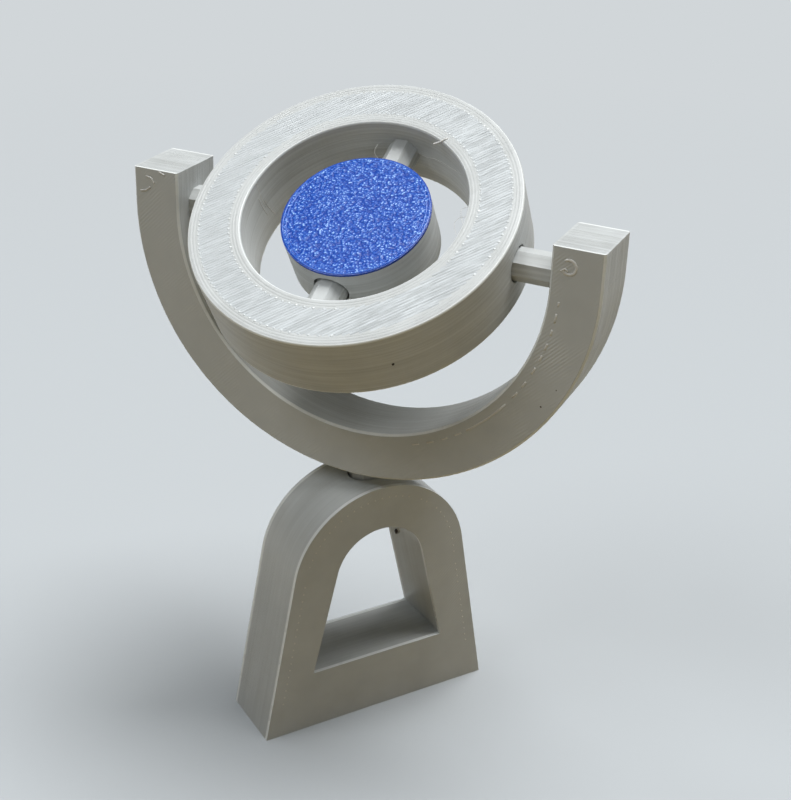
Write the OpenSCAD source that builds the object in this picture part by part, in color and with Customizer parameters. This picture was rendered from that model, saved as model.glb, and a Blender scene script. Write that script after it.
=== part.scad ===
// Gimbal gyroscope on an arched stand. A short round rotor turns on two pins in
// a flat ring, the ring turns on two pins in a half-ring yoke, and the yoke
// swivels on a pin in the top of the stand. All pieces are printed plastic.
// +Z is up, the stand's front faces -Y, and the origin is the middle of its base.

/* [Rotor] */
// outer radius of the rotor
rotor_r = 11.3; // [9:0.1:14]
// height of the rotor with its face disc
rotor_h = 8; // [6.5:0.1:10]
// thickness of the coloured face disc on the rotor
cap_t = 0.6; // [0.4:0.1:1.2]
// space between the rotor and the inside of the ring
rotor_gap = 5.7; // [2.5:0.1:8]

/* [Ring] */
// wall of the ring, from its inside to its outside
ring_t = 8; // [7.9:0.1:12]
// height of the ring along its own axis
ring_h = 11.5; // [9:0.1:14]
// lean of the ring towards the front of the yoke at rest
ring_tilt = 31; // [0:1:60]
// how far the ring has slid along its pins towards the left arm
ring_shift = 1.5; // [0:0.1:1.6]
// space between the ring and the inside of the yoke
ring_gap = 5; // [3.2:0.1:8]

/* [Yoke] */
// wall of the yoke, from its inside to its outside
yoke_t = 7.7; // [6.5:0.1:12]
// depth of the yoke, front to back
yoke_d = 10.8; // [8:0.1:16]
// height of the arm tops above the pins
yoke_arm = 5.8; // [4:0.1:10]
// turn of the yoke at rest, clockwise seen from above
yoke_turn = 55.4; // [0:0.1:90]
// space between the yoke and the top of the stand
yoke_gap = 2.3; // [0.8:0.1:5]

/* [Stand] */
// width of the stand at its base
stand_w = 41; // [36:0.5:60]
// depth of the stand, front to back
stand_d = 12; // [9:0.5:30]
// height of the stand
stand_h = 42; // [39:0.5:70]
// radius of the stand's round top
stand_top_r = 15.5; // [13:0.1:17]
// width of the window at its floor
window_w = 24; // [17:0.5:28]
// height of the window's floor above the base
window_floor = 10.5; // [4:0.5:15]
// radius of the window's round top
window_top_r = 8; // [5:0.1:9.5]
// height of the crown above the window
crown_h = 7.4; // [6.5:0.1:11]

/* [Pins and edges] */
// width of the eight-sided pins, flat to flat
pin_w = 4.6; // [3.6:0.1:5]
// how far a pin is pressed into the piece that holds it
pin_seat = 5; // [3:0.1:5.6]
// how far a pin reaches into the piece that turns on it
pin_run = 5; // [3:0.1:5.5]
// space all round between a pin's corners and its bore
pin_play = 0.31; // [0.2:0.01:0.4]
// space between the end of a pin and the bottom of its bore
end_play = 0.25; // [0.2:0.05:0.5]
// small bevel on the edges of the turned shapes
edge_bevel = 0.35; // [0.1:0.05:0.6]

/* [Hidden] */
$fn = 96;
pin_sides = 8;
over = 1;                                   // how far a cutter runs past a face
pin_corner_r = pin_w / 2 / cos(180 / pin_sides);
bore_r = pin_corner_r + pin_play;
ring_in_r = rotor_r + rotor_gap;
ring_r = ring_in_r + ring_t;
yoke_in_r = ring_r + ring_gap;
yoke_r = yoke_in_r + yoke_t;
tilt_z = stand_h + yoke_gap + yoke_r;       // height of the ring's pins
ring_bore = pin_run + ring_shift + end_play;
stand_bore = pin_run + end_play;
top_z = stand_h - stand_top_r;              // centre of the stand's round top
window_z = stand_h - crown_h - window_top_r;

// places a shape in the yoke's own frame: its pins along X, the swivel along Z
module in_yoke() {
    translate([0, 0, tilt_z]) rotate([0, 0, -yoke_turn]) children();
}

// places a shape in the ring's own frame: its bores along X, the rotor's along Y
module in_ring() {
    in_yoke() translate([-ring_shift, 0, 0]) rotate([ring_tilt, 0, 0]) children();
}

// the point where the side line from a lower corner meets the round top
function side_touch(half_w, low_z, mid_z, r) =
    let (reach = norm([half_w, mid_z - low_z]),
         side = sqrt(reach * reach - r * r),
         slope = atan2(mid_z - low_z, -half_w) - asin(r / reach))
    [half_w + side * cos(slope), low_z + side * sin(slope)];

// a round-topped arch between straight leaning sides, standing in the XZ plane
module arch(half_w, low_z, mid_z, r, depth) {
    touch = side_touch(half_w, low_z, mid_z, r);
    translate([0, 0, mid_z]) rotate([90, 0, 0]) cylinder(r = r, h = depth, center = true);
    rotate([90, 0, 0]) linear_extrude(height = depth, center = true)
        polygon([[-half_w, low_z], [half_w, low_z], touch, [-touch[0], touch[1]]]);
}

// a rectangle from one radius to another with its four corners bevelled
module bevelled_wall(in_r, out_r, height) {
    c = edge_bevel;
    polygon([[in_r + c, -height / 2], [out_r - c, -height / 2],
        [out_r, c - height / 2], [out_r, height / 2 - c],
        [out_r - c, height / 2], [in_r + c, height / 2],
        [in_r, height / 2 - c], [in_r, c - height / 2]]);
}

// an eight-sided pin along +X from the start to the end, with a flat facing up
module pin_along_x(start, end) {
    translate([start, 0, 0]) rotate([0, 90, 0]) rotate([0, 0, 180 / pin_sides])
        cylinder(r = pin_corner_r, h = end - start, $fn = pin_sides);
}

// a round bore along +X from the start to the end
module bore_along_x(start, end) {
    translate([start, 0, 0]) rotate([0, 90, 0]) cylinder(r = bore_r, h = end - start);
}

module stand() {
    color([0.55, 0.54, 0.50])
    difference() {
        arch(stand_w / 2, 0, top_z, stand_top_r, stand_d);
        arch(window_w / 2, window_floor, window_z, window_top_r, stand_d + 2 * over);
        translate([0, 0, stand_h - stand_bore]) cylinder(r = bore_r, h = stand_bore + over);
    }
}

module yoke() {
    color([0.58, 0.57, 0.53])
    in_yoke() difference() {
        union() {
            rotate([-90, 0, 0]) rotate_extrude(angle = 180)
                bevelled_wall(yoke_in_r, yoke_r, yoke_d);
            for (side = [0, 180])
                rotate([0, 0, side]) linear_extrude(height = yoke_arm)
                    bevelled_wall(yoke_in_r, yoke_r, yoke_d);
        }
        for (side = [0, 180])
            rotate([0, 0, side]) pin_along_x(yoke_in_r - over, yoke_in_r + pin_seat);
        rotate([0, 90, 0]) pin_along_x(yoke_r - pin_seat, yoke_r + over);
    }
}

module swivel_pin() {
    color([0.60, 0.59, 0.55])
    in_yoke() rotate([0, 90, 0])
        pin_along_x(yoke_r - pin_seat, yoke_r + yoke_gap + pin_run);
}

module ring_pin_left() {
    color([0.60, 0.59, 0.55])
    in_yoke() rotate([0, 0, 180]) pin_along_x(ring_r - pin_run, yoke_in_r + pin_seat);
}

module ring_pin_right() {
    color([0.60, 0.59, 0.55])
    in_yoke() pin_along_x(ring_r - pin_run, yoke_in_r + pin_seat);
}

module gimbal_ring() {
    color([0.80, 0.81, 0.80])
    in_ring() difference() {
        rotate_extrude() bevelled_wall(ring_in_r, ring_r, ring_h);
        for (side = [0, 180]) {
            rotate([0, 0, side]) bore_along_x(ring_r - ring_bore, ring_r + over);
            rotate([0, 0, side + 90]) pin_along_x(ring_in_r - over, ring_in_r + pin_seat);
        }
    }
}

module rotor_pin_front() {
    color([0.60, 0.59, 0.55])
    in_ring() rotate([0, 0, -90]) pin_along_x(rotor_r - pin_run, ring_in_r + pin_seat);
}

module rotor_pin_rear() {
    color([0.60, 0.59, 0.55])
    in_ring() rotate([0, 0, 90]) pin_along_x(rotor_r - pin_run, ring_in_r + pin_seat);
}

module rotor() {
    color([0.52, 0.53, 0.52])
    in_ring() difference() {
        translate([0, 0, -rotor_h / 2]) cylinder(r = rotor_r, h = rotor_h - cap_t);
        rotate([0, 0, 90]) bore_along_x(-rotor_r - over, rotor_r + over);
    }
}

module rotor_face() {
    color([0.16, 0.31, 0.68])
    in_ring() translate([0, 0, rotor_h / 2 - cap_t]) cylinder(r = rotor_r, h = cap_t);
}

stand();
yoke();
swivel_pin();
ring_pin_left();
ring_pin_right();
gimbal_ring();
rotor_pin_front();
rotor_pin_rear();
rotor();
rotor_face();
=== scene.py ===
from math import acos, asin, atan2, cos, pi, radians, sin, sqrt

import bmesh
import bpy
from mathutils import Matrix, Vector, noise


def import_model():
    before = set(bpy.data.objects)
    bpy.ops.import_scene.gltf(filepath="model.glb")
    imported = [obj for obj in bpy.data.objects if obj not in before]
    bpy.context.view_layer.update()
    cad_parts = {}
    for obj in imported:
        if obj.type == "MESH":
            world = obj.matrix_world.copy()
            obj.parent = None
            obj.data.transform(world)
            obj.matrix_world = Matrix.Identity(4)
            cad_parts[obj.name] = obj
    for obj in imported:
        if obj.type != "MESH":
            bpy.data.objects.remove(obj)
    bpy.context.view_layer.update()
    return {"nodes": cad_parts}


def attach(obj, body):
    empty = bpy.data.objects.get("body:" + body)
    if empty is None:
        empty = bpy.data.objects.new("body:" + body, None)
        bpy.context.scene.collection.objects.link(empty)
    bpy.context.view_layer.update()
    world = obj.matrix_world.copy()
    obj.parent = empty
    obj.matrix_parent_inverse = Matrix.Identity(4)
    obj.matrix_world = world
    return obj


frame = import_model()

MM = 0.001

# sizes of the frame that the looks follow, in metres
RING_R = 25.0 * MM
RING_IN_R = 17.0 * MM
RING_HALF = 5.75 * MM
ROTOR_R = 11.3 * MM
ROTOR_HALF = 4.0 * MM
ROTOR_EDGE = 0.1 * MM
YOKE_R = 37.7 * MM
YOKE_IN_R = 30.0 * MM
YOKE_HALF = 5.4 * MM
ARM_TOP = 5.8 * MM
STAND_HALF = 6.0 * MM
STAND_HALF_W = 20.5 * MM
STAND_TOP_R = 15.5 * MM
STAND_TOP_Z = 26.5 * MM
WINDOW_HALF_W = 12.0 * MM
WINDOW_FLOOR = 10.5 * MM
WINDOW_TOP_R = 8.0 * MM
WINDOW_TOP_Z = 26.6 * MM
TILT_Z = 82.0 * MM
BORE_R = 2.8 * MM
BORE_REACH = BORE_R + 0.1 * MM
PIN_HALF = 9 * MM
EDGE = 0.35 * MM
STAND_EDGE = 0.6 * MM

# what the printer's nozzle left: lines on flat faces, layers on side walls
LINE = 0.45 * MM
LAYER = 0.3 * MM
WALL_LINES = 3
FILL_TURN = 45
RIDGE_SWING = 0.013
FULL_TURN_STEPS = 144

# the blue face's skin: grains to a metre, steps across the face, and the heights above the face at
# which its colour changes: painted shade in the low lanes, painted glints on the highest backs
GRAINS = 2600
FACE_STEPS = 260
GRAIN_FOOT = 0.03 * MM
GRAIN_WAIST = 0.056 * MM
GRAIN_SHOULDER = 0.063 * MM
GRAIN_CROWN = 0.072 * MM

# noise patterns, in steps to a metre: thin layers in long streaks, strokes of painted sheen along
# the fill lines
FINE_STREAKS = (60, 60, 2600)
BROAD_STREAKS = (35, 35, 800)
FILL_STROKES = (330, 3000, 100)
PATCHES = 160.0
PLATE_GRAIN = 2600.0
GLINT_AND_BUMP_NOISE = 3800.0
MOTTLE = 1500.0

# the yoke's, ring's and stand's own frames: each print lies flat in its own XY plane, top side up
YOKE = Matrix.Translation((0, 0, TILT_Z)) @ Matrix.Rotation(radians(-55.4), 4, "Z")
RING = YOKE @ Matrix.Translation((-1.5 * MM, 0, 0)) @ Matrix.Rotation(radians(31), 4, "X")
LAID_FLAT = Matrix.Rotation(radians(90), 4, "X")
YOKE_PRINT = YOKE @ LAID_FLAT
STAND_PRINT = LAID_FLAT


# ---------------------------------------------------------------- materials


def srgb(r, g, b):
    """A colour given in steps from 0 to 255, as the linear colour that a shader takes."""
    linear = [v / 255 / 12.92 if v < 10 else ((v / 255 + 0.055) / 1.055) ** 2.4 for v in (r, g, b)]
    return tuple(linear) + (1.0,)


GREY = srgb(205, 208, 208)
GREY_DARK = srgb(174, 176, 174)
# painted highlight: the pale tint on rounded edges and on crests that stand proud
PAINTED_HIGHLIGHT = srgb(236, 239, 238)
# painted sheen: the two tones of the strokes along the ring's fill lines
SHEEN_DARK_PAINTED = srgb(181, 185, 187)
SHEEN_PALE_PAINTED = srgb(214, 219, 222)
BLUE = srgb(40, 92, 190)
# painted shade in the low lanes of the blue face
BLUE_PAINTED_SHADE = srgb(22, 66, 162)
# painted glint on the highest backs of the blue grains
PAINTED_GLINT = srgb(155, 196, 248)
STRING = srgb(232, 231, 227)
STRING_DARK = srgb(208, 207, 203)
BURNT = srgb(38, 30, 24)
BURNT_PALE = srgb(70, 56, 44)


class Finish:
    """A material under construction: a Principled shader and the nodes that feed it."""

    def __init__(self, name, colour, roughness):
        self.mat = bpy.data.materials.new(name)
        self.mat.use_nodes = True
        self.tree = self.mat.node_tree
        self.shader = self.tree.nodes["Principled BSDF"]
        self.shader.inputs["Base Color"].default_value = colour
        self.shader.inputs["Roughness"].default_value = roughness

    def node(self, kind, **settings):
        made = self.tree.nodes.new(kind)
        for key, value in settings.items():
            setattr(made, key, value)
        return made

    def link(self, out, into):
        self.tree.links.new(out, into)

    def place(self, matrix):
        """Coordinates in a print's own frame, in metres."""
        coord = self.node("ShaderNodeTexCoord")
        turn = self.node("ShaderNodeMapping", vector_type="TEXTURE")
        turn.inputs["Location"].default_value = matrix.to_translation()
        turn.inputs["Rotation"].default_value = matrix.to_euler("XYZ")
        self.link(coord.outputs["Object"], turn.inputs["Vector"])
        return turn.outputs["Vector"]

    def stretch(self, vector, scale):
        made = self.node("ShaderNodeMapping")
        made.inputs["Scale"].default_value = scale
        self.link(vector, made.inputs["Vector"])
        return made.outputs["Vector"]

    def turned(self, vector, degrees):
        """Coordinates turned round the print's upright axis."""
        made = self.node("ShaderNodeMapping")
        made.inputs["Rotation"].default_value = (0, 0, radians(degrees))
        self.link(vector, made.inputs["Vector"])
        return made.outputs["Vector"]

    def split(self, vector):
        made = self.node("ShaderNodeSeparateXYZ")
        self.link(vector, made.inputs[0])
        return made.outputs

    def noise(self, vector, scale, detail=2.0):
        made = self.node("ShaderNodeTexNoise")
        made.inputs["Scale"].default_value = scale
        made.inputs["Detail"].default_value = detail
        self.link(vector, made.inputs["Vector"])
        return made.outputs["Fac"]

    def math(self, operation, *values):
        made = self.node("ShaderNodeMath", operation=operation)
        for value, socket in zip(values, made.inputs):
            if isinstance(value, (int, float)):
                socket.default_value = value
            else:
                self.link(value, socket)
        return made.outputs[0]

    def spread(self, value, low, high, to_low=0.0, to_high=1.0):
        """The value from low to high, carried over to a new range and held at its ends."""
        made = self.node("ShaderNodeMapRange")
        made.inputs["From Min"].default_value = low
        made.inputs["From Max"].default_value = high
        made.inputs["To Min"].default_value = to_low
        made.inputs["To Max"].default_value = to_high
        self.link(value, made.inputs["Value"])
        return made.outputs["Result"]

    def tint(self, amount, first, second):
        """A mix of two colours, each a colour or a socket."""
        made = self.node("ShaderNodeMix", data_type="RGBA")
        for name, value in (("A", first), ("B", second)):
            socket = next(s for s in made.inputs if s.name == name and s.type == "RGBA")
            if isinstance(value, tuple):
                socket.default_value = value
            else:
                self.link(value, socket)
        self.link(amount, made.inputs[0])
        return next(s for s in made.outputs if s.type == "RGBA")

    def bump(self, height, strength, distance, under=None):
        made = self.node("ShaderNodeBump")
        made.inputs["Strength"].default_value = strength
        made.inputs["Distance"].default_value = distance
        self.link(height, made.inputs["Height"])
        if under:
            self.link(under, made.inputs["Normal"])
        return made.outputs["Normal"]

    def bands(self, value, period):
        """A smooth wave between 0 and 1 that repeats each period of the value."""
        wave = self.math("SINE", self.math("MULTIPLY", value, 2 * pi / period))
        return self.math("MULTIPLY_ADD", wave, 0.5, 0.5)

    def colour_from(self, socket):
        self.link(socket, self.shader.inputs["Base Color"])

    def normal_from(self, socket):
        self.link(socket, self.shader.inputs["Normal"])


def streaked_grey(f, fine, broad, patches, on_side, streaky):
    """Long streaks on the side walls, a plain shade on the flat faces, soft patches on both."""
    usual = (0.3, 0.7)
    plain_shade = 0.6
    darkest = 0.45 - 0.45 * streaky
    thin = f.spread(fine, *usual, darkest, darkest + 0.6 * streaky)
    wide = f.spread(broad, *usual, 0.0, 0.4 * streaky)
    walls = f.math("MULTIPLY", f.math("ADD", thin, wide), on_side)
    flats = f.math("SUBTRACT", plain_shade, f.math("MULTIPLY", on_side, plain_shade))
    soft = f.spread(patches, *usual, 0.0, 0.3)
    return f.tint(f.math("ADD", f.math("ADD", walls, flats), soft), GREY_DARK, GREY)


def painted_sheen_grey(f, here, x, z, half):
    """Painted sheen in fine strokes along the fill lines, weaker on the left, and a painted
    highlight where plastic stands proud.
    """
    sheen_strokes = f.noise(f.stretch(f.turned(here, -FILL_TURN), FILL_STROKES), 1.0)
    # the painted sheen is weaker towards the ring's left
    strength = f.spread(x, -22 * MM, 10 * MM, 0.35, 1.0)
    uneven = f.math("MULTIPLY", f.spread(sheen_strokes, 0.34, 0.68, -0.5, 0.5), strength)
    body = f.tint(f.math("ADD", uneven, 0.5), SHEEN_DARK_PAINTED, SHEEN_PALE_PAINTED)
    painted_crest_highlight = f.spread(z, half + 0.06 * MM, half + 0.1 * MM)
    return f.tint(painted_crest_highlight, body, PAINTED_HIGHLIGHT)


def fill_relief(f, x, y, z, patches, half, strength, under):
    """Faint fill lines on the top face, which show only in patches."""
    turn = radians(FILL_TURN)
    across = f.math("ADD", f.math("MULTIPLY", x, sin(turn)), f.math("MULTIPLY", y, -cos(turn)))
    on_top = f.spread(z, half - 0.25 * MM, half - 0.15 * MM)
    faint = f.math("MULTIPLY", on_top, f.spread(patches, 0.4, 0.62))
    lines = f.math("MULTIPLY", f.bands(across, LINE), faint)
    return f.bump(lines, strength, distance=0.05 * MM, under=under)


def plate_relief(f, here, z, half, under):
    """The grain of the printer's plate, on the face that lay on it."""
    on_plate = f.spread(z, -half + 0.05 * MM, -half + 0.02 * MM)
    grain = f.noise(here, PLATE_GRAIN)
    height = f.math("MULTIPLY", grain, on_plate)
    return f.bump(height, strength=0.8, distance=0.06 * MM, under=under)


def printed(name, matrix, half, rounding, streaky=1.0, fill=0.0, shine=0.0, lined=False):
    """Layered plastic: long streaks round the sides, glossy edges tinted pale as a painted
    highlight, plate grain below.
    """
    f = Finish(name, GREY, 0.4)
    here = f.place(matrix)
    x, y, z = f.split(here)
    fine = f.noise(f.stretch(here, FINE_STREAKS), 1.0, 3.0)
    patches = f.noise(here, PATCHES, 3.0)
    height = f.math("ABSOLUTE", z)
    on_side = f.spread(height, half - 0.02 * MM, half - 0.05 * MM)
    edge_start = half - rounding
    near_edge = f.spread(height, edge_start - 0.15 * MM, edge_start + 0.05 * MM)
    edge = f.math("MULTIPLY", on_side, near_edge)
    # the ring's fill lines get painted sheen and painted crest highlights in place of streaks
    if lined:
        body = painted_sheen_grey(f, here, x, z, half)
    else:
        broad = f.noise(f.stretch(here, BROAD_STREAKS), 1.0, 3.0)
        body = streaked_grey(f, fine, broad, patches, on_side, streaky)
    # painted highlight: the rounded edges are tinted pale where gloss would catch the light
    f.colour_from(f.tint(edge, body, PAINTED_HIGHLIGHT))
    relief = f.bump(f.math("MULTIPLY", fine, on_side), strength=0.6, distance=0.08 * MM)
    if fill:
        relief = fill_relief(f, x, y, z, patches, half, fill, relief)
    f.normal_from(plate_relief(f, here, z, half, relief))
    glossy = 0.36 - shine
    matt = 0.48 - shine
    face_gloss = f.spread(patches, 0.35, 0.65, glossy, matt)
    edge_gloss = f.math("MULTIPLY", edge, 0.12)
    f.link(f.math("SUBTRACT", face_gloss, edge_gloss), f.shader.inputs["Roughness"])
    return f.mat


def blue_with_painted_light(name):
    """Blue plastic off a grainy plate: painted shade between the grains, painted glints on their
    backs.
    """
    f = Finish(name, BLUE, 0.2)
    here = f.place(RING)
    height = f.math("SUBTRACT", f.split(here)[2], ROTOR_HALF)
    fine = f.noise(here, GLINT_AND_BUMP_NOISE, 1.0)
    # painted shade: the low lanes between the grains are tinted darker
    body = f.tint(f.spread(height, GRAIN_FOOT, GRAIN_WAIST), BLUE_PAINTED_SHADE, BLUE)
    # painted glints: the highest grain backs are tinted pale blue
    glint_crowns = f.spread(height, GRAIN_SHOULDER, GRAIN_CROWN)
    painted_glints = f.math("MULTIPLY", glint_crowns, f.spread(fine, 0.4, 0.55, 0.3, 1.0))
    f.colour_from(f.tint(painted_glints, body, PAINTED_GLINT))
    f.normal_from(f.bump(fine, strength=0.35, distance=0.06 * MM))
    return f.mat


def plain(name, colour, roughness, mottle):
    """A small stain or string: one colour, a little uneven."""
    f = Finish(name, colour, roughness)
    uneven = f.noise(f.place(RING), MOTTLE)
    f.colour_from(f.tint(uneven, colour, mottle))
    return f.mat


# ---------------------------------------------------------------- ways to make a piece


def finished(name, bm, body, material, smooth=True):
    """Turns a bmesh into a piece that rides on a body of the frame."""
    bm.normal_update()
    bmesh.ops.recalc_face_normals(bm, faces=bm.faces)
    mesh = bpy.data.meshes.new(name)
    bm.to_mesh(mesh)
    bm.free()
    for face in mesh.polygons:
        face.use_smooth = smooth
    piece = bpy.data.objects.new(name, mesh)
    bpy.context.scene.collection.objects.link(piece)
    mesh.materials.append(material)
    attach(piece, body)
    return piece


def add_to(bm, small):
    """Joins a small bmesh to a growing one: far quicker than an operator on the big one."""
    mesh = bpy.data.meshes.new("small")
    small.to_mesh(mesh)
    small.free()
    bm.from_mesh(mesh)
    bpy.data.meshes.remove(mesh)


def hoop(bm, radius, height, half_r, half_z, start=0.0, end=2 * pi, middle=(0, 0, 0), sides=6):
    """A low ridge laid in a circle or an arc round the print's upright axis."""
    whole = end - start > 2 * pi - 0.001
    small = bmesh.new()
    made = bmesh.ops.create_circle(small, segments=sides, radius=1.0, cap_ends=not whole)["verts"]
    lay = Matrix.Translation(middle) @ Matrix.Rotation(start, 4, "Z")
    lay = lay @ Matrix.Translation((radius, 0, height)) @ Matrix.Rotation(radians(90), 4, "X")
    lay = lay @ Matrix.Diagonal((half_r, half_z, 1, 1))
    bmesh.ops.transform(small, matrix=lay, verts=made)
    geom = list(small.verts) + list(small.edges) + list(small.faces)
    sweep = end - start
    steps = max(3, round(FULL_TURN_STEPS * sweep / (2 * pi)))
    bmesh.ops.spin(
        small, geom=geom, axis=(0, 0, 1), cent=middle, angle=sweep, steps=steps, use_merge=whole
    )
    add_to(bm, small)


def bar(bm, start, end, out, half_width, half_height, sides=6):
    """A straight low ridge from one point to another, its back towards out."""
    along = (end - start).normalized()
    out = Vector(out)
    turn = Matrix((along.cross(out).normalized(), out, along)).transposed().to_4x4()
    lay = Matrix.Translation((start + end) / 2) @ turn
    lay = lay @ Matrix.Diagonal((half_width, half_height, 1, 1))
    length = (end - start).length
    small = bmesh.new()
    bmesh.ops.create_cone(
        small, cap_ends=True, segments=sides, radius1=1, radius2=1, depth=length, matrix=lay
    )
    add_to(bm, small)


def bead(bm, spot, width, height, subdivisions=2):
    """A small round blob that sits on a flat face."""
    small = bmesh.new()
    lay = Matrix.Translation(spot) @ Matrix.Diagonal((width, width, height, 1))
    bmesh.ops.create_icosphere(small, subdivisions=subdivisions, radius=1.0, matrix=lay)
    add_to(bm, small)


def thread(bm, points, radius, steps=5):
    """A fine round string that runs smoothly through points given in millimetres."""
    points = [Vector(p) * MM for p in points]
    ghosts = [2 * points[0] - points[1]] + points + [2 * points[-1] - points[-2]]
    way = [points[0]]
    for p, a, b, q in zip(ghosts, ghosts[1:], ghosts[2:], ghosts[3:]):
        for step in range(1, steps + 1):
            t = step / steps
            pull = (b - p) * t / 2
            bend = (2 * p - 5 * a + 4 * b - q) * t * t / 2
            twist = (3 * a - p - 3 * b + q) * t ** 3 / 2
            way.append(a + pull + bend + twist)
    for a, b in zip(way, way[1:]):
        bar(bm, a, b, (b - a).orthogonal().normalized(), radius, radius)
        bead(bm, b, radius, radius, 1)


def ridge_lift(k, seed, least=0.017):
    """How far a layer's ridge stands out of its wall: no two layers are quite alike."""
    return (least + RIDGE_SWING * noise.noise(Vector((k * 0.83, seed, 0.5)))) * MM


def layers(half, rounding=EDGE):
    """The height of each printed layer, from the plate to the top face."""
    count = int((2 * half - 2 * rounding) / LAYER)
    first = -(count - 1) * LAYER / 2
    return [first + k * LAYER for k in range(count)]


def bore_gap(height, radius):
    """Half the angle that a bore takes out of a round wall at this height, or nothing."""
    if abs(height) >= BORE_REACH:
        return 0.0
    return asin(sqrt(BORE_REACH * BORE_REACH - height * height) / radius)


def wall_hoops(bm, radius, half, seed, mouths=()):
    """A ridge for each layer round a turned wall, open where a bore comes out of it."""
    for k, height in enumerate(layers(half)):
        lift = ridge_lift(k, seed)
        gap = bore_gap(height, radius) if mouths else 0.0
        if not gap:
            hoop(bm, radius, height, lift, LAYER / 2)
            continue
        for mouth in mouths:
            hoop(bm, radius, height, lift, LAYER / 2, mouth + gap, mouth + pi - gap)


# ---------------------------------------------------------------- the ring


def ring_layers(material):
    """The layer lines round the ring's outer and inner walls."""
    bm = bmesh.new()
    wall_hoops(bm, RING_R, RING_HALF, 1.0, (0, pi))
    wall_hoops(bm, RING_IN_R, RING_HALF, 2.0)
    bm.transform(RING)
    return finished("ring_layer_lines", bm, "ring", material, smooth=False)


def ring_walls(material):
    """The wall lines that run round the ring's top face at its outer and inner edge."""
    bm = bmesh.new()
    outermost = 0.044
    step_down = 0.008
    for k in range(WALL_LINES):
        inset = EDGE + (k + 0.5) * LINE
        lift = (outermost - step_down * k) * MM
        hoop(bm, RING_R - inset, RING_HALF, LINE / 2, lift)
        hoop(bm, RING_IN_R + inset, RING_HALF, LINE / 2, lift)
    bm.transform(RING)
    return finished("ring_wall_lines", bm, "ring", material, smooth=False)


def ring_edges(material):
    """The soft round edges where the ring's side walls meet its top face and the plate."""
    bm = bmesh.new()
    for height in (RING_HALF - EDGE, EDGE - RING_HALF):
        hoop(bm, RING_R - EDGE, height, EDGE, EDGE, sides=16)
        hoop(bm, RING_IN_R + EDGE, height, EDGE, EDGE, sides=16)
    bm.transform(RING)
    return finished("ring_round_edges", bm, "ring", material)


def chord(offset, radius):
    """Half the length of a line across a circle at this distance from its middle."""
    return sqrt(max(radius * radius - offset * offset, 0.0))


def turn_bead(bm, before, spot):
    """The small blob where one fill line turns back into the next."""
    swell = (0.11 + 0.05 * noise.noise(spot * 900)) * MM
    width = (0.24 + 0.08 * noise.noise(spot * 1300)) * MM
    bead(bm, (before + spot) / 2, width, swell, subdivisions=1)


def ring_fill(material):
    """The fill lines across the ring's top face, joined in pairs by small raised turns."""
    out_r = RING_R - EDGE - WALL_LINES * LINE
    in_r = RING_IN_R + EDGE + WALL_LINES * LINE
    shortest = 0.6 * MM
    widest_turn = 2.5 * LINE
    usual_lift = 0.046
    swing = 0.034
    turn = Matrix.Rotation(radians(FILL_TURN), 4, "Z")
    bm = bmesh.new()
    count = int(out_r / LINE)
    last = {}
    for k in range(-count, count + 1):
        offset = k * LINE
        far = chord(offset, out_r)
        near = chord(offset, in_r)
        if far < shortest:
            continue
        spans = [(-far, far)] if near == 0 else [(-far, -near), (near, far)]
        ends = {}
        for low, high in spans:
            lift = (usual_lift + swing * noise.noise(Vector((k * 0.7, low * 300, 3.0)))) * MM
            start, end = (turn @ Vector((s, offset, RING_HALF)) for s in (low, high))
            bar(bm, start, end, (0, 0, 1), LINE / 2, lift)
            ends[low < 0, "low"] = start
            ends[high < 0, "high"] = end
        for key, spot in ends.items():
            every_other = (k + len(key[1])) % 2 == 0
            if key in last and every_other and (spot - last[key]).length < widest_turn:
                turn_bead(bm, last[key], spot)
        last = ends
    bm.transform(RING)
    return finished("ring_fill_lines", bm, "ring", material, smooth=False)


# fine strings drawn out between moves of the nozzle, in the ring's own frame in millimetres
RIM_BLOB = ((8.7, 15.7, 5.75), (8.2, 15.2, 5.8), (7.6, 14.8, 5.6), (6.9, 14.5, 5.4))
INNER_STRING = (
    (1.49, 16.9, 0.63), (3.57, 16.2, 0.34), (6.4, 15.3, 1.04), (9.0, 13.9, 1.56), (11.7, 12.3, 2.25)
)
LOOSE_HAIR = (
    (16.85, 2.2, 5.5), (15.9, 2.0, 5.2), (15.6, 0.9, 5.3), (16.2, -0.4, 5.4), (16.9, -1.4, 5.6)
)
SHORT_HAIR = ((16.4, 4.3, 5.2), (15.7, 3.3, 5.4), (16.6, 1.4, 5.5), (17.1, 0.6, 5.75))
PIN_HAIR = ((-1.9, 12.4, 2.2), (-2.6, 12.7, 3.4), (-2.3, 13.6, 4.2))
LONG_SCUFF = ((-16.93, 1.4, 5.3), (-16.97, 1.2, 4.0), (-16.97, 1.2, 1.7), (-16.95, 1.4, -0.3))
SHORT_SCUFF = ((-16.9, 1.6, 1.2), (-16.88, 2.0, -1.0), (-16.8, 2.6, -3.0))
LOW_SCUFF = ((-16.97, 0.6, 2.6), (-16.98, 0.7, 0.6), (-16.97, 1.1, -1.6))
HAIR_R = 0.03 * MM
SCUFF_R = 0.06 * MM
BLOB_R = 0.16 * MM


def ring_strings(material):
    """Hairs, scuffs and a blob of plastic that hang on the ring's inner edge."""
    bm = bmesh.new()
    for hair in (INNER_STRING, LOOSE_HAIR, SHORT_HAIR, PIN_HAIR):
        thread(bm, hair, HAIR_R)
    for scuff in (LONG_SCUFF, SHORT_SCUFF, LOW_SCUFF):
        thread(bm, scuff, SCUFF_R, steps=3)
    thread(bm, RIM_BLOB, BLOB_R)
    bm.transform(RING)
    return finished("ring_strings", bm, "ring", material)


# ---------------------------------------------------------------- the rotor


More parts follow.
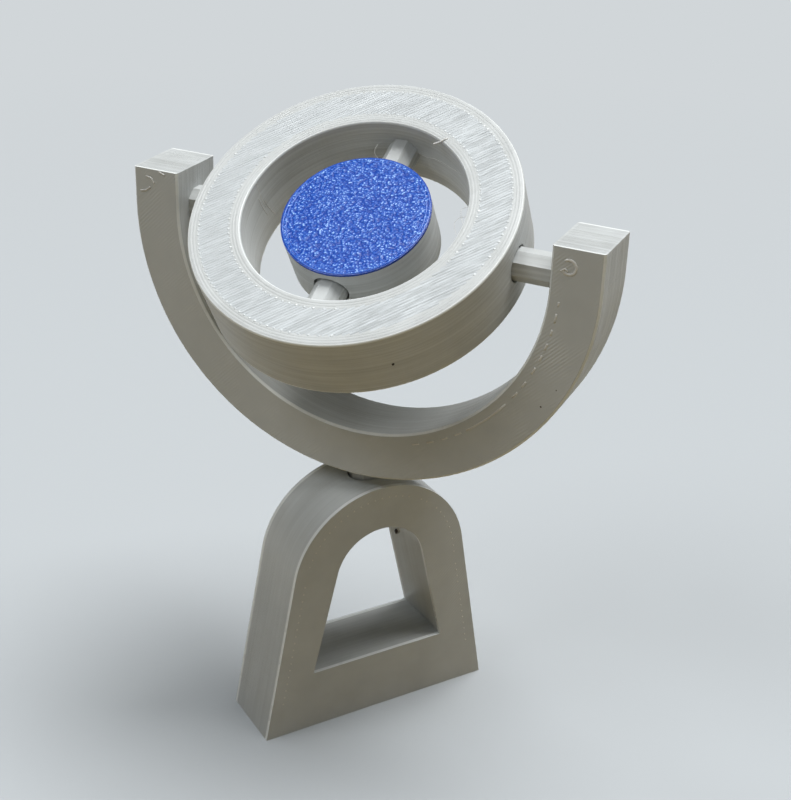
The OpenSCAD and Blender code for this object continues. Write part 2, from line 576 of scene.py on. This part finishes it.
def rotor_layers(material):
    """The layer lines round the rotor's side."""
    bm = bmesh.new()
    wall_hoops(bm, ROTOR_R, ROTOR_HALF, 3.0, (pi / 2, 3 * pi / 2))
    bm.transform(RING)
    return finished("rotor_layer_lines", bm, "rotor", material, smooth=False)


def grain_height(spot):
    """How high the blue skin stands at a point: round backs with low lanes between them."""
    # noise_vector takes its start from the clock, so the grains lie a little differently each run
    stirred = spot + 0.15 * noise.noise_vector(spot * 0.8)
    from_middle = noise.voronoi(stirred)[0][0]
    back = max(0.0, 1 - 1.6 * from_middle * from_middle)
    return (0.012 + 0.065 * back + 0.008 * noise.noise(spot * 0.4)) * MM


def close_below(bm, depth):
    """Sinks the open rim of a skin into what it lies on, and closes it there."""
    open_edges = [e for e in bm.edges if e.is_boundary]
    skirt = bmesh.ops.extrude_edge_only(bm, edges=open_edges)["geom"]
    sunk = [v for v in skirt if isinstance(v, bmesh.types.BMVert)]
    bmesh.ops.translate(bm, vec=(0, 0, -depth), verts=sunk)
    bmesh.ops.holes_fill(bm, edges=[e for e in bm.edges if e.is_boundary], sides=0)


def face_grain(material):
    """The grainy skin of the blue face, with two fine lines round its rim."""
    bm = bmesh.new()
    size = ROTOR_R - 0.15 * MM
    bmesh.ops.create_grid(bm, x_segments=FACE_STEPS, y_segments=FACE_STEPS, size=size)
    outside = [v for v in bm.verts if v.co.length > size]
    bmesh.ops.delete(bm, geom=outside, context="VERTS")
    rim = [v for v in bm.verts if v.is_boundary]
    for v in rim:
        v.co = v.co.normalized() * size
    for v in bm.verts:
        v.co.z = ROTOR_HALF + grain_height(v.co * GRAINS)
    for v in rim:
        v.co.z = ROTOR_HALF
    close_below(bm, 0.05 * MM)
    # these rim lines stand just into the height of the painted glint
    for inset in (0.3 * MM, 0.8 * MM):
        hoop(bm, ROTOR_R - inset, ROTOR_HALF, 0.16 * MM, 0.065 * MM, sides=8)
    bm.transform(RING)
    return finished("rotor_face_grain", bm, "rotor", material)


# ---------------------------------------------------------------- the yoke


def yoke_layers(material):
    """The layer lines round the yoke's curved walls and over the tops of its arms."""
    bm = bmesh.new()
    for k, height in enumerate(layers(YOKE_HALF)):
        lift = ridge_lift(k, 4.0)
        for radius in (YOKE_R, YOKE_IN_R):
            hoop(bm, radius, height, lift, LAYER / 2, pi, 2 * pi)
            for side in (-1, 1):
                foot = Vector((side * radius, 0, height))
                bar(bm, foot, foot + Vector((0, ARM_TOP - EDGE, 0)), (side, 0, 0), LAYER / 2, lift)
        for side in (-1, 1):
            near = Vector((side * (YOKE_IN_R + EDGE), ARM_TOP, height))
            far = Vector((side * (YOKE_R - EDGE), ARM_TOP, height))
            bar(bm, near, far, (0, 1, 0), LAYER / 2, 1.6 * lift)
    bm.transform(YOKE_PRINT)
    return finished("yoke_layer_lines", bm, "yoke", material, smooth=False)


# small marks on the yoke's front, as x and y on its print in millimetres
LEFT_CURL = ((-35.53, 4.56), (-34.63, 4.4), (-34.13, 3.69))
LEFT_HOOK = ((-36.56, 2.16), (-35.64, 2.32), (-34.89, 2.93))
LEFT_STRING = ((-33.13, 5.6), (-32.26, 5.27))
RIGHT_TAIL = ((31.45, 2.35), (32.1, 2.75), (32.45, 2.5))
RIGHT_CURL = (32.65, 3.05, 0)
RIGHT_CURL_R = 1.05 * MM
CURL_R = 0.14 * MM


def broken_line(bm):
    """The dashes inside the yoke's inner edge, placed in degrees from the right arm down."""
    radius = YOKE_IN_R + 1.7 * MM
    at = 4.0
    last = 72
    while at < last:
        dash = 2.0 + 1.6 * noise.noise(Vector((at * 0.37, 1.0, 0)))
        long_one = 13 if 37 < at < 43 else 0
        dash += long_one
        hoop(bm, radius, YOKE_HALF, 0.17 * MM, 0.06 * MM, radians(-at - dash), radians(-at))
        at += dash + 2.2 + 1.5 * noise.noise(Vector((at * 0.53, 2.0, 0)))


def yoke_marks(material):
    """Curls of plastic where the nozzle stopped, and the broken line inside the inner edge."""
    bm = bmesh.new()
    for curl in (LEFT_CURL, LEFT_HOOK, LEFT_STRING, RIGHT_TAIL):
        thread(bm, [(x, y, YOKE_HALF / MM) for x, y in curl], CURL_R)
    centre = Vector(RIGHT_CURL) * MM
    start, end = radians(-150), radians(125)
    hoop(bm, RIGHT_CURL_R, YOKE_HALF, 0.21 * MM, 0.1 * MM, start, end, centre, sides=8)
    # the dashes take the pale string colour, a painted highlight on these low ridges
    broken_line(bm)
    bm.transform(YOKE_PRINT)
    return finished("yoke_front_marks", bm, "yoke", material)


# ---------------------------------------------------------------- the stand


def side_touch(half_w, low, middle, radius):
    """The angle at which a straight side from a lower corner meets the round top, and where."""
    reach = sqrt(half_w ** 2 + (middle - low) ** 2)
    lean = atan2(low - middle, half_w) + acos(radius / reach)
    return lean, Vector((radius * cos(lean), middle + radius * sin(lean), 0))


def arch_line(bm, half_w, low, middle, radius, height, lift, gap=0.0):
    """One layer's ridge up a straight side, over the round top and down the other side."""
    lean, touch = side_touch(half_w, low, middle, radius)
    up = Vector((0, 0, height))
    for side in (-1, 1):
        mirrored = Matrix.Diagonal((side, 1, 1))
        foot = mirrored @ Vector((half_w, low + EDGE, 0))
        knee = mirrored @ touch
        out = mirrored @ Vector((cos(lean), sin(lean), 0))
        bar(bm, foot + up, knee + up, out, LAYER / 2, lift)
    centre = (0, middle, 0)
    if gap:
        hoop(bm, radius, height, lift, LAYER / 2, lean, pi / 2 - gap, centre)
        hoop(bm, radius, height, lift, LAYER / 2, pi / 2 + gap, pi - lean, centre)
    else:
        hoop(bm, radius, height, lift, LAYER / 2, lean, pi - lean, centre)


def stand_layers(material):
    """The layer lines round the stand's outside and round its window."""
    bm = bmesh.new()
    for k, height in enumerate(layers(STAND_HALF, STAND_EDGE)):
        lift = ridge_lift(k, 5.0, 0.009)
        gap = bore_gap(height, STAND_TOP_R)
        arch_line(bm, STAND_HALF_W, 0, STAND_TOP_Z, STAND_TOP_R, height, lift, gap)
        arch_line(bm, WINDOW_HALF_W, WINDOW_FLOOR, WINDOW_TOP_Z, WINDOW_TOP_R, height, lift)
        left = Vector((-WINDOW_HALF_W, WINDOW_FLOOR, height))
        right = Vector((WINDOW_HALF_W, WINDOW_FLOOR, height))
        bar(bm, left, right, (0, 1, 0), LAYER / 2, lift)
    bm.transform(STAND_PRINT)
    return finished("stand_layer_lines", bm, "stand", material, smooth=False)


def front_dots():
    """The points inside the outline of the stand's front where fill lines meet the wall."""
    inset = 1.9 * MM
    first = 5
    radius = STAND_TOP_R - inset
    lean, touch = side_touch(STAND_HALF_W - inset, 0, STAND_TOP_Z, radius)
    foot = Vector((STAND_HALF_W - inset, 0, 0))
    way = touch - foot
    pitch = 2 * LINE / sin(radians(FILL_TURN))
    spots = []
    for k in range(first, int(way.length / pitch)):
        spot = foot + way.normalized() * k * pitch
        spots += [Vector((-spot.x, spot.y, STAND_HALF)), Vector((spot.x, spot.y, STAND_HALF))]
    arc = pi - 2 * lean
    for k in range(int(arc * radius / pitch)):
        turn = lean + k * pitch / radius
        spots.append(Vector((radius * cos(turn), STAND_TOP_Z + radius * sin(turn), STAND_HALF)))
    return spots


def stand_marks(material):
    """A dotted line inside the outline of the stand's front, with its flattest dots left out."""
    bm = bmesh.new()
    flattest = 0.02
    # the dots take the pale string colour, a painted highlight on these low bumps
    for spot in front_dots():
        swell = 0.05 + 0.1 * noise.noise(spot * 500)
        if swell > flattest:
            bead(bm, spot, 0.16 * MM, 0.5 * swell * MM)
    bm.transform(STAND_PRINT)
    return finished("stand_front_marks", bm, "stand", material)


# where the burnt specks lie, on each print in millimetres
RING_SPECK = (13.94, -20.76, -0.37)
YOKE_SPECK_LOW = (30.26, -18.73, 5.4)
YOKE_SPECK_HIGH = (32.35, -15.61, 5.4)
WINDOW_SPECK = (8.0, 27.1, -2.8)


def speck(name, spot, half, matrix, body, material):
    """A small flat stain on a face; its place and half sizes are in millimetres."""
    bm = bmesh.new()
    bmesh.ops.create_icosphere(bm, subdivisions=2, radius=1.0)
    for v in bm.verts:
        v.co *= 1 + 0.35 * noise.noise(v.co * 1.7 + Vector(spot))
    size = Matrix.Diagonal((half[0] * MM, half[1] * MM, half[2] * MM, 1))
    lay = Matrix.Translation(Vector(spot) * MM) @ size
    bm.transform(matrix @ lay)
    return finished(name, bm, body, material)


# ---------------------------------------------------------------- the object

stand_plastic = printed("stand_plastic", STAND_PRINT, STAND_HALF, STAND_EDGE, streaky=0.4, fill=0.3)
yoke_plastic = printed("yoke_plastic", YOKE_PRINT, YOKE_HALF, EDGE, streaky=0.8, fill=0.6)
ring_plastic = printed("ring_plastic", RING, RING_HALF, EDGE)
ring_wall_plastic = printed("ring_wall_plastic", RING, RING_HALF, EDGE, shine=0.14)
ring_fill_plastic = printed("ring_fill_plastic", RING, RING_HALF, EDGE, shine=0.14, lined=True)
rotor_plastic = printed("rotor_plastic", RING, ROTOR_HALF, ROTOR_EDGE)
pin_plastic = printed("pin_plastic", YOKE, PIN_HALF, EDGE)
rotor_pin_plastic = printed("rotor_pin_plastic", RING, PIN_HALF, EDGE)
blue_plastic = blue_with_painted_light("blue_plastic")
# pale string colour: the hairs' own colour; on the front dots and dashes partly a painted highlight
string_plastic = plain("string_plastic", STRING, 0.3, STRING_DARK)
burnt_plastic = plain("burnt_plastic", BURNT, 0.6, BURNT_PALE)

FINISHES = {
    "stand": stand_plastic,
    "yoke": yoke_plastic,
    "swivel_pin": pin_plastic,
    "ring_pin_left": pin_plastic,
    "ring_pin_right": pin_plastic,
    "gimbal_ring": ring_plastic,
    "rotor_pin_front": rotor_pin_plastic,
    "rotor_pin_rear": rotor_pin_plastic,
    "rotor": rotor_plastic,
    "rotor_face": blue_plastic,
}
for node_name, finish in FINISHES.items():
    for place in frame["nodes"][node_name].material_slots:
        place.material = finish

for node_name, width in (("stand", STAND_EDGE), ("yoke", EDGE)):
    edge = frame["nodes"][node_name].modifiers.new("rounded_edges", "BEVEL")
    edge.width = width
    edge.segments = 4
    edge.limit_method = "ANGLE"
    edge.angle_limit = radians(40)

ring_walls(ring_wall_plastic)
ring_fill(ring_fill_plastic)
ring_layers(ring_plastic)
ring_edges(ring_plastic)
ring_strings(string_plastic)
rotor_layers(rotor_plastic)
face_grain(blue_plastic)
yoke_layers(yoke_plastic)
yoke_marks(string_plastic)
stand_layers(stand_plastic)
stand_marks(string_plastic)
speck("ring_side_speck", RING_SPECK, (0.22, 0.22, 0.16), RING, "ring", burnt_plastic)
speck("yoke_speck_low", YOKE_SPECK_LOW, (0.13, 0.13, 0.04), YOKE_PRINT, "yoke", burnt_plastic)
speck("yoke_speck_high", YOKE_SPECK_HIGH, (0.09, 0.09, 0.04), YOKE_PRINT, "yoke", burnt_plastic)
speck("window_speck", WINDOW_SPECK, (0.3, 0.5, 0.4), STAND_PRINT, "stand", burnt_plastic)

# ---------------------------------------------------------------- the room

FLOOR_SEEN = srgb(184, 188, 191)
FLOOR_BOUNCE = srgb(127, 111, 74)
ROOM_SEEN = srgb(209, 214, 217)
ROOM_GLOW = srgb(84, 87, 88)
BLACK = srgb(0, 0, 0)
FLOOR_HALF = 3.0
NEAR_FLOOR = 0.16
FAR_FLOOR = 0.42

# the photograph's view, found from the outlines of the ring, the yoke and the stand: angles in
# degrees, the point aimed at and its distance in millimetres
VIEW_TURN = -30.86
VIEW_RISE = 26.53
VIEW_ROLL = 1.95
VIEW_AIM = (2.82, -4.09, 55.9)
VIEW_DISTANCE = 233.23
FOCAL_PIXELS = 1513.6
LONG_SIDE_PIXELS = 800
FILM_WIDTH = 36


def floor():
    """A pale sheet that keeps the shadow near the object and fades into the room further out."""
    bm = bmesh.new()
    bmesh.ops.create_grid(bm, x_segments=1, y_segments=1, size=FLOOR_HALF)
    mesh = bpy.data.meshes.new("floor")
    bm.to_mesh(mesh)
    bm.free()
    plane = bpy.data.objects.new("floor", mesh)
    bpy.context.scene.collection.objects.link(plane)
    f = Finish("floor_paper", FLOOR_SEEN, 0.9)
    f.shader.inputs["Specular IOR Level"].default_value = 0.0
    path = f.node("ShaderNodeLightPath")
    seen = f.math("MAXIMUM", path.outputs["Is Camera Ray"], path.outputs["Is Glossy Ray"])
    x, y = f.split(f.node("ShaderNodeTexCoord").outputs["Object"])[:2]
    reach = f.math("SQRT", f.math("ADD", f.math("MULTIPLY", x, x), f.math("MULTIPLY", y, y)))
    far = f.spread(reach, NEAR_FLOOR, FAR_FLOOR)
    f.colour_from(f.tint(seen, FLOOR_BOUNCE, f.tint(far, FLOOR_SEEN, BLACK)))
    f.shader.inputs["Emission Color"].default_value = ROOM_SEEN
    f.link(f.math("MULTIPLY", seen, far), f.shader.inputs["Emission Strength"])
    mesh.materials.append(f.mat)


def lamp(name, spot, aim, size, power, colour):
    """A soft round lamp that faces a point."""
    data = bpy.data.lights.new(name, "AREA")
    data.shape = "DISK"
    data.size = size
    data.energy = power
    data.color = colour
    made = bpy.data.objects.new(name, data)
    made.location = spot
    made.rotation_euler = (Vector(spot) - Vector(aim)).to_track_quat("Z", "Y").to_euler()
    bpy.context.scene.collection.objects.link(made)


def world():
    """A dim even room that looks pale to the camera."""
    room = bpy.data.worlds.new("room")
    room.use_nodes = True
    tree = room.node_tree
    ground = tree.nodes["Background"]
    path = tree.nodes.new("ShaderNodeLightPath")
    pick = tree.nodes.new("ShaderNodeMix")
    pick.data_type = "RGBA"
    colours = [s for s in pick.inputs if s.type == "RGBA"]
    colours[0].default_value = ROOM_GLOW
    colours[1].default_value = ROOM_SEEN
    tree.links.new(path.outputs["Is Camera Ray"], pick.inputs[0])
    picked = next(s for s in pick.outputs if s.type == "RGBA")
    tree.links.new(picked, ground.inputs["Color"])
    bpy.context.scene.world = room


def camera():
    """The photograph's view: a long lens from the stand's left front, slightly rolled."""
    turn, rise, roll = radians(VIEW_TURN), radians(VIEW_RISE), radians(VIEW_ROLL)
    back = Vector((sin(turn) * cos(rise), -cos(turn) * cos(rise), sin(rise)))
    right = Vector((0, 0, 1)).cross(back).normalized()
    up = back.cross(right)
    tilted_right = right * cos(roll) + up * sin(roll)
    tilted_up = up * cos(roll) - right * sin(roll)
    aim = Vector(VIEW_AIM) * MM
    data = bpy.data.cameras.new("camera")
    data.lens = FOCAL_PIXELS * FILM_WIDTH / LONG_SIDE_PIXELS
    data.sensor_width = FILM_WIDTH
    data.clip_start = 0.01
    seat = bpy.data.objects.new("camera", data)
    turned = Matrix((tilted_right, tilted_up, back)).transposed().to_4x4()
    seat.matrix_world = Matrix.Translation(aim + back * VIEW_DISTANCE * MM) @ turned
    bpy.context.scene.collection.objects.link(seat)
    bpy.context.scene.camera = seat


floor()
world()
lamp("overhead", (0.60, -0.15, 2.55), (0, 0, 0.08), 1.8, 80.0, (0.99, 1.0, 1.0))
lamp("window_side", (-0.8, 0.1, 1.0), (0, 0, 0.06), 0.6, 4.0, (0.95, 0.98, 1.0))
lamp("window_glow", (-0.30, 0.50, 1.70), (0, 0, 0.08), 0.3, 1.8, (0.97, 0.99, 1.0))
lamp("left_front", (-1.0, -0.7, 0.35), (0, 0, 0.05), 0.6, 0.35, (1.0, 0.97, 0.90))
lamp("right_front", (0.45, -1.15, 0.35), (0, 0, 0.05), 0.6, 0.6, (1.0, 0.94, 0.78))
camera()
bpy.context.scene.view_settings.view_transform = "Standard"
